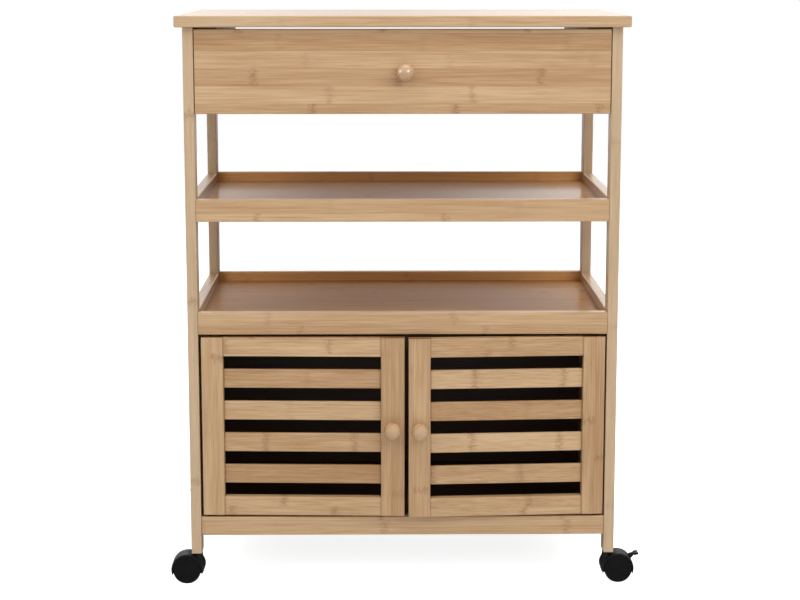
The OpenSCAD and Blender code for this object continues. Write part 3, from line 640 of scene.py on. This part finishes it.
shifts = np.random.default_rng(SEED).uniform(0.0, FARTHEST_SHIFT, (len(BOARDS), len(AXES)))
shifts[list(BOARDS).index("drawer_front"), UP] = SEAM_STRIP * DRAWER_STRIP - DRAWER_SEAM_Z
for node, number in LOWEST_SLAT.items():
    shifts[list(BOARDS).index(node), UP] = number * SLAT_PITCH - SLATS_FROM
for (node, (look, grain, wide)), shift in zip(BOARDS.items(), shifts.tolist()):
    low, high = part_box(node)
    ends = (low[AXES[grain]], high[AXES[grain]])
    dress(node, bamboo_material("bamboo_" + node, look, grain, wide, shift, ends,
                                SETTINGS.get(node, {})))
print("boards", len(BOARDS))

# %% [markdown]
# ## Plastic, steel and turned wood
#
# The castors are moulded in black plastic with a fine texture, so light spreads softly over them.
# Most of the small metal parts are zinc-plated steel, whose brightness changes in small patches.
# Both come from two noises: a wide one changes colour and roughness, and a fine one makes the
# bump.

# %% Other finishes
# A patch is this many times as wide as the speckles of the bump
PATCH_WIDTH = 12
PATCH_EDGES = (0.35, 0.65)
PATCH_ROUGH_SPREAD = 0.2
SPECKLE_SHARE = 0.5
# The detail and roughness of the two noises
SPECKLES = (3.0, 0.6)
PATCHES = (2.0, 0.5)
SPECKLE_DEPTHS = {"hood": 0.02e-3, "wheel": 0.03e-3, "catch": 0.02e-3, "metal": 0.01e-3}


def speckled_material(name, color, second, metallic, rough, scale, depth, shine=0.5):
    """A finish whose colour and roughness change in small patches, with a fine bump.

    scale is the number of speckles in a metre and depth how deep they are."""
    material, tree, shader = new_material(name)
    place = add(tree, "TexCoord").outputs["Object"]
    fine = noise(tree, place, (scale,) * 3, *SPECKLES)
    wide = noise(tree, place, (scale / PATCH_WIDTH,) * 3, *PATCHES)
    tint = mix(tree, band(tree, wide, *PATCH_EDGES, 0.0, 1.0), color, second)
    spread = calc(tree, "MULTIPLY_ADD", wide, PATCH_ROUGH_SPREAD, rough - PATCH_ROUGH_SPREAD / 2)
    bump = add(tree, "Bump", {"Height": fine, "Strength": SPECKLE_SHARE, "Distance": depth})
    fill(tree, shader, {
        "Base Color": tint,
        "Roughness": spread,
        "Normal": bump.outputs[0],
        "Metallic": metallic,
        "Specular IOR Level": shine,
    })
    return material


hood_plastic = speckled_material(
    "hood_plastic", linear(13, 13, 14), linear(17, 17, 18), metallic=0, rough=0.48, scale=2600,
    depth=SPECKLE_DEPTHS["hood"], shine=0.2)
wheel_plastic = speckled_material(
    "wheel_plastic", linear(13, 13, 14), linear(17, 17, 18), metallic=0, rough=0.6, scale=1800,
    depth=SPECKLE_DEPTHS["wheel"], shine=0.1)
catch_plastic = speckled_material(
    "catch_plastic", linear(58, 44, 34), linear(66, 50, 38), metallic=0, rough=0.5, scale=2000,
    depth=SPECKLE_DEPTHS["catch"])
zinc = speckled_material(
    "zinc", linear(196, 196, 198), linear(180, 178, 172), metallic=1, rough=0.32, scale=900,
    depth=SPECKLE_DEPTHS["metal"])
dark_steel = speckled_material(
    "dark_steel", linear(58, 54, 50), linear(46, 43, 40), metallic=1, rough=0.5, scale=900,
    depth=SPECKLE_DEPTHS["metal"])
brass = speckled_material(
    "brass", linear(206, 172, 98), linear(190, 152, 82), metallic=1, rough=0.35, scale=900,
    depth=SPECKLE_DEPTHS["metal"])
for node in nodes:
    if node.endswith(("castor_hood", "brake_lever")):
        dress(node, hood_plastic)
    if node.endswith("castor_wheels"):
        dress(node, wheel_plastic)
    if node.endswith(("fittings", "knob_screw")):
        dress(node, zinc)
for node in ("frame_screws", "castor_stems"):
    dress(node, zinc)
dress("door_pivot_pins", dark_steel)
dress("castor_sockets", brass)
dress("door_catch", catch_plastic)

# %% [markdown]
# The knobs are turned from one piece of wood, so the end grain shows as rings round the nose
# and as fine streaks on the sides. The rings come from the distance to a line beside the knob's
# axis, because the tree's heart is rarely in the middle of a knob.

# %% Turned wood
RINGS = 2600
RING_SHARE = 0.16
RING_WOBBLE = 0.0022
WOBBLES = ((120, 20, 120), 2.0, 0.5)
TURNED_STREAKS = ((1100, 60, 1100), 3.0, 0.6)
TURNED_EDGES = (0.25, 0.85)
TURNED_LIGHT = linear(200, 168, 131)
TURNED_DARK = linear(166, 124, 86)
TURNED_ROUGH = 0.30
TURNED_ROUGH_SPREAD = 0.15
TURNED_BUMP_SHARE = 0.3
TURNED_DEPTH = 0.0001
TURNED_COAT = 0.7
TURNED_COAT_ROUGH = 0.12


def turned_material(name, middle, heart):
    """Wood turned about Y at middle = (x, z), with rings about a line at middle + heart."""
    material, tree, shader = new_material(name)
    place = add(tree, "TexCoord").outputs["Object"]
    centre = (-middle[0] - heart[0], 0, -middle[1] - heart[1])
    moved = add(tree, "Mapping", {"Vector": place, "Location": centre}).outputs[0]
    axes = add(tree, "SeparateXYZ", {0: moved})
    wobble = calc(tree, "MULTIPLY", noise(tree, moved, *WOBBLES), RING_WOBBLE)
    radius = calc(tree, "SQRT", calc(tree, "ADD",
                                     calc(tree, "POWER", axes.outputs[0], 2.0),
                                     calc(tree, "POWER", axes.outputs[2], 2.0)))
    ring = calc(tree, "SINE", calc(tree, "MULTIPLY", calc(tree, "ADD", radius, wobble), RINGS))
    streak = noise(tree, moved, *TURNED_STREAKS)
    tone = calc(tree, "ADD", calc(tree, "MULTIPLY", ring, RING_SHARE), streak)
    color = mix(tree, band(tree, tone, *TURNED_EDGES, 0.0, 1.0), TURNED_LIGHT, TURNED_DARK)
    rough = calc(tree, "MULTIPLY_ADD", streak, TURNED_ROUGH_SPREAD, TURNED_ROUGH)
    bump = add(tree, "Bump", {"Height": streak, "Strength": TURNED_BUMP_SHARE,
                              "Distance": TURNED_DEPTH})
    fill(tree, shader, {
        "Base Color": color,
        "Roughness": rough,
        "Normal": bump.outputs[0],
        "Coat Weight": TURNED_COAT,
        "Coat Roughness": TURNED_COAT_ROUGH,
    })
    return material


# %% [markdown]
# ## Surfaces from arrays
#
# The round pieces are grids of points: each row is a copy of a profile, and the rows go round an
# axis. Modelling them by hand with loop cuts would work too, but an array holds the whole shape
# in one formula, and a changed radius is one changed number. Several grids can share one object.
# Where a profile ends on the axis its points fall together, so doubles are merged before the
# faces are turned outwards.

# %% Surface helpers
SAME_POINT = 1e-7


def rounded(points, radii, steps):
    """A polyline with its inner corners rounded.

    Each corner p is replaced by the curve (1-t)^2 a + 2t(1-t) p + t^2 b, where a and b lie one
    radius before and after it."""
    points = np.array(points, float)
    t = np.linspace(0, 1, steps + 1)[:, None]
    parts = [points[:1]]
    for before, corner, after, radius in zip(points, points[1:], points[2:], radii):
        back = before - corner
        ahead = after - corner
        a = corner + back / np.linalg.norm(back) * radius
        b = corner + ahead / np.linalg.norm(ahead) * radius
        parts.append((1 - t) ** 2 * a + 2 * t * (1 - t) * corner + t ** 2 * b)
    return np.vstack([*parts, points[-1:]])


def lathe(profile, centre, axis, segments):
    """A profile of (radius, height) turned about an axis through centre.

    The axis is level and of length 1, and side and up are square to it.
    Point = centre + height * axis + radius * (cos a * side + sin a * up)."""
    side = np.cross(axis, [0, 0, 1])
    up = np.cross(side, axis)
    a = np.linspace(0, 2 * np.pi, segments, endpoint=False)[:, None, None]
    radius, height = np.array(profile, float).T[:, None, :, None]
    return centre + height * axis + radius * (np.cos(a) * side + np.sin(a) * up)


def quads(rows, columns, first):
    """The corner numbers of the quads between neighbouring points of a grid.

    The last row joins the first one, since the rows go round an axis."""
    i = np.arange(rows)[:, None] * columns
    j = np.arange(columns - 1)[None, :]
    i2 = (i + columns) % (rows * columns)
    faces = np.stack([i + j, i2 + j, i2 + j + 1, i + j + 1], -1)
    return faces.reshape(-1, 4) + first


def piece(name, grids, material, body, replaced, smooth_degrees):
    """One object from several grids of points, smooth but for edges sharper than the angle.

    It takes the place of one CAD node."""
    vertices = []
    faces = []
    for grid in grids:
        faces.append(quads(*grid.shape[:2], sum(len(v) for v in vertices)))
        vertices.append(grid.reshape(-1, 3))
    mesh = bpy.data.meshes.new(name)
    mesh.from_pydata(np.vstack(vertices).tolist(), [], np.vstack(faces).tolist())
    shape = bmesh.new()
    shape.from_mesh(mesh)
    bmesh.ops.remove_doubles(shape, verts=shape.verts, dist=SAME_POINT)
    bmesh.ops.recalc_face_normals(shape, faces=shape.faces)
    shape.to_mesh(mesh)
    shape.free()
    mesh.materials.append(material)
    mesh.shade_smooth()
    mesh.set_sharp_from_angle(angle=math.radians(smooth_degrees))
    made = new_object(name, mesh)
    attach(made, body)
    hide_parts(replaced)
    return made


# %% [markdown]
# ## Knobs
#
# A knob is a ball on a short neck with a small foot, turned in one go on a lathe. The profile
# follows the same sizes as the CAD knob, with a fillet where the neck meets the ball. The doors
# stand a little open, so their knobs point a little aside.

# %% Turn the knobs
KNOB_R = 0.01175
KNOB_REACH = 0.01275
NECK_R = 0.0062
FOOT_R = 0.0074
FOOT_T = 0.0016
FOOT_SLOPE = 0.0002
NECK_END = 0.0003
KNOB_RADII = (0.0003, 0.0007, 0.0002, 0.0005)
KNOB_CORNER_STEPS = 4
KNOB_SEGMENTS = 80
KNOB_SHARP_DEGREES = 40
BALL_STEPS = 40
# The ball's first points make way for the fillet
FILLET_STEPS = 2
TREE_HEART = (0.006, -0.007)
KNOBS = {
    "drawer_knob": ("drawer", 0.0),
    "left_door_knob": ("left_door", -1.9),
    "right_door_knob": ("right_door", 3.4),
}


def knob_profile():
    """(radius, height) from the foot to the nose: foot, neck, and the ball's arc to its pole."""
    start = math.pi - math.asin(NECK_R / KNOB_R)
    a = np.linspace(start, 0, BALL_STEPS)
    ball = np.stack([KNOB_R * np.sin(a), KNOB_REACH + KNOB_R * np.cos(a)], 1)
    ball[-1, 0] = 0
    foot = rounded([(0, 0), (FOOT_R, 0), (FOOT_R, FOOT_T), (NECK_R, FOOT_T + FOOT_SLOPE),
                    (NECK_R, ball[0, 1] - NECK_END), ball[FILLET_STEPS]],
                   KNOB_RADII, KNOB_CORNER_STEPS)
    return np.vstack([foot, ball[FILLET_STEPS + 1:]])


for name, (body, degrees) in KNOBS.items():
    low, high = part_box(name)
    ball_at = np.array([(low.x + high.x) / 2, low.y + KNOB_R, (low.z + high.z) / 2])
    turn = math.radians(degrees)
    outward = np.array([math.sin(turn), -math.cos(turn), 0])
    wood = turned_material("turned_" + name, (ball_at[0], ball_at[2]), TREE_HEART)
    grid = lathe(knob_profile(), ball_at - KNOB_REACH * outward, outward, KNOB_SEGMENTS)
    turned = piece(name + "_turned", [grid], wood, body, name, KNOB_SHARP_DEGREES)
    if body == "drawer":
        polished.objects.link(turned)
    print(name, "at", ball_at.round(4).tolist())

# %% [markdown]
# ## Castor wheels
#
# Each castor has two moulded wheels on one axle. A wheel is one closed profile: a flat tread
# with small radii, a narrow rim, a shallow dish and a low boss in the middle that covers the
# axle's end.

# %% Turn the wheels
CORNERS = ("front_left", "front_right", "rear_left", "rear_right")
WHEEL_R = 0.019
WHEEL_IN = 0.0045
WHEEL_OUT = 0.0154
WHEEL_EDGE = 0.0014
RIM_W = 0.0030
DISH = 0.0006
BOSS_R = 0.0052
BOSS_SINK = 0.0002
BOSS_TOP = WHEEL_OUT - BOSS_SINK
FINE_EDGE = 0.0002
WHEEL_CORNER_STEPS = 5
WHEEL_SEGMENTS = 96
AXLE_R = 0.0025
AXLE_OVERLAP = 0.0005
AXLE_END = WHEEL_IN + AXLE_OVERLAP
AXLE_SEGMENTS = 24
SHARP_DEGREES = 30


def wheel_profile(side):
    """(radius, distance along the axle) of one wheel, closed on the axis at both ends."""
    points = [(0, WHEEL_IN), (WHEEL_R, WHEEL_IN), (WHEEL_R, WHEEL_OUT),
              (WHEEL_R - RIM_W, WHEEL_OUT), (WHEEL_R - RIM_W - DISH, WHEEL_OUT - DISH),
              (BOSS_R + DISH, WHEEL_OUT - DISH), (BOSS_R, BOSS_TOP), (0, BOSS_TOP)]
    radii = [WHEEL_EDGE] * 2 + [FINE_EDGE] * 4
    return rounded(points, radii, WHEEL_CORNER_STEPS) * [1, side]


for corner in CORNERS:
    name = corner + "_castor_wheels"
    low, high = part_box(name)
    hub = [(low.x + high.x) / 2, (low.y + high.y) / 2, (low.z + high.z) / 2]
    axle = [(0, -AXLE_END), (AXLE_R, -AXLE_END), (AXLE_R, AXLE_END), (0, AXLE_END)]
    grids = [lathe(wheel_profile(side), hub, (0, 1, 0), WHEEL_SEGMENTS) for side in (1, -1)]
    grids.append(lathe(axle, hub, (0, 1, 0), AXLE_SEGMENTS))
    piece(name + "_moulded", grids, wheel_plastic, corner + "_wheels", name,
          SHARP_DEGREES)
print("wheels", 2 * len(CORNERS))

# %% [markdown]
# ## Hoods and brake levers
#
# The hood is a plastic shell over both wheels, and its edges are softly rounded, as a moulding's
# are. The CAD hood has the right shape with sharp edges. A copy of it gets a Bevel modifier,
# which rounds each edge that is sharper than a limit. A CAD mesh is loose triangles, so the
# copy's doubles are merged and its flat faces joined first, or the modifier would find no edges.

# %% Soften the hoods and levers
BEVEL_W = 0.0005
BEVEL_STEPS = 3
BEVEL_DEGREES = 32
FLAT_DEGREES = 0.6
SAME_CORNER = 1e-6


def softened(node, body, material):
    """A copy of a CAD node with rounded edges, which takes the node's place."""
    shape = bmesh.new()
    shape.from_mesh(nodes[node].data)
    bmesh.ops.remove_doubles(shape, verts=shape.verts, dist=SAME_CORNER)
    bmesh.ops.dissolve_limit(shape, angle_limit=math.radians(FLAT_DEGREES), verts=shape.verts,
                             edges=shape.edges)
    mesh = bpy.data.meshes.new(node + "_soft")
    shape.to_mesh(mesh)
    shape.free()
    mesh.materials.append(material)
    mesh.shade_smooth()
    mesh.set_sharp_from_angle(angle=math.radians(BEVEL_DEGREES))
    made = new_object(node + "_soft", mesh)
    bevel = made.modifiers.new("round_edges", "BEVEL")
    bevel.width = BEVEL_W
    bevel.segments = BEVEL_STEPS
    bevel.limit_method = "ANGLE"
    bevel.angle_limit = math.radians(BEVEL_DEGREES)
    bevel.harden_normals = True
    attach(made, body)
    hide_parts(node)
    return made


for corner in CORNERS:
    hood = softened(corner + "_castor_hood", corner + "_castor", hood_plastic)
    print(hood.name, len(hood.data.polygons), "faces before the bevel")
for side in ("front_right", "rear_left"):
    softened(side + "_brake_lever", side + "_brake", hood_plastic)

# %% [markdown]
# ## Screw heads
#
# The rails are held by screws through the posts, and the top by screws through the cleats. A
# head is a shallow dome with a cross recess. On a polar grid the recess is a height: it drops
# where the point lies inside either bar of the cross, with a short slope at the bar's edge.

# %% Make the screw heads
HEAD_R = 0.0045
HEAD_T = 0.003
HEAD_DOME = 0.0004
RECESS = 0.0016
BAR_L = 0.0025
BAR_W = 0.00055
# The recess is full where bars falls short of SLOPE_TO by SLOPE, and none beyond SLOPE_TO
SLOPE_TO = 1.25
SLOPE = 0.35
RECESS_RISE_SHARE = 0.6
HEAD_SEGMENTS = 72
INNER_SHARES = np.linspace(0, 0.62, 16)
OUTER_SHARES = np.linspace(0.68, 1, 5)
SCREWED_RAILS = ("base_front_rail", "base_rear_rail", "lower_shelf_front_rail",
                 "lower_shelf_rear_rail", "upper_shelf_front_rail", "upper_shelf_rear_rail",
                 "upper_rear_rail")
UPPER_RAIL_SCREW_UP = 0.020
CLEAT_SCREW_IN = 0.045
CLEAT_W = 0.030
CLEAT_HEAD_R = 0.004


def screw_head(at, axis, radius):
    """A polar grid of (distance, angle) with the height dome - recess, closed down its side."""
    axis = np.array(axis)
    side = np.array([0, 1, 0] if axis[0] else [1, 0, 0])
    up = np.cross(axis, side)
    a = np.linspace(0, 2 * np.pi, HEAD_SEGMENTS, endpoint=False)[:, None]
    share = np.concatenate([INNER_SHARES, OUTER_SHARES])[None, :]
    u = np.cos(a) * share * radius
    w = np.sin(a) * share * radius
    size = radius / HEAD_R
    bars = np.minimum(np.maximum(abs(u) / BAR_L, abs(w) / BAR_W),
                      np.maximum(abs(u) / BAR_W, abs(w) / BAR_L)) / size
    inside = np.clip((SLOPE_TO - bars) / SLOPE, 0, 1)
    depth = RECESS * size * inside * (1 - RECESS_RISE_SHARE * share)
    height = HEAD_DOME * (1 - share ** 2) - depth
    rim = np.stack([u[:, -1], w[:, -1], np.full(len(a), -HEAD_T)], -1)
    foot = np.stack([u[:, 0], w[:, 0], np.full(len(a), -HEAD_T)], -1)
    grid = np.concatenate([np.stack([u, w, height], -1), rim[:, None], foot[:, None]], 1)
    return at + grid[..., :1] * side + grid[..., 1:2] * up + grid[..., 2:] * axis


post_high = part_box("front_right_post")[1]
cleat_low, cleat_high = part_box("top_cleats")
heads = []
for rail in SCREWED_RAILS:
    low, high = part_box(rail)
    heights = [(low.z + high.z) / 2]
    if rail == "upper_rear_rail":
        heights = [low.z + UPPER_RAIL_SCREW_UP, high.z - UPPER_RAIL_SCREW_UP]
    for z in heights:
        for side in (-1, 1):
            at = (side * post_high.x, (low.y + high.y) / 2, z)
            heads.append(screw_head(at, (side, 0, 0), HEAD_R))
for y in (cleat_low.y + CLEAT_SCREW_IN, cleat_high.y - CLEAT_SCREW_IN):
    for side in (-1, 1):
        at = (side * (cleat_high.x - CLEAT_W / 2), y, cleat_low.z)
        heads.append(screw_head(at, (0, 0, -1), CLEAT_HEAD_R))
piece("frame_screw_heads", heads, zinc, "frame", "frame_screws", SHARP_DEGREES)
print("screw heads", len(heads))

# %% Write the sizes
low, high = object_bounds()
print("scene box", [round(c, 4) for c in (*low, *high)])
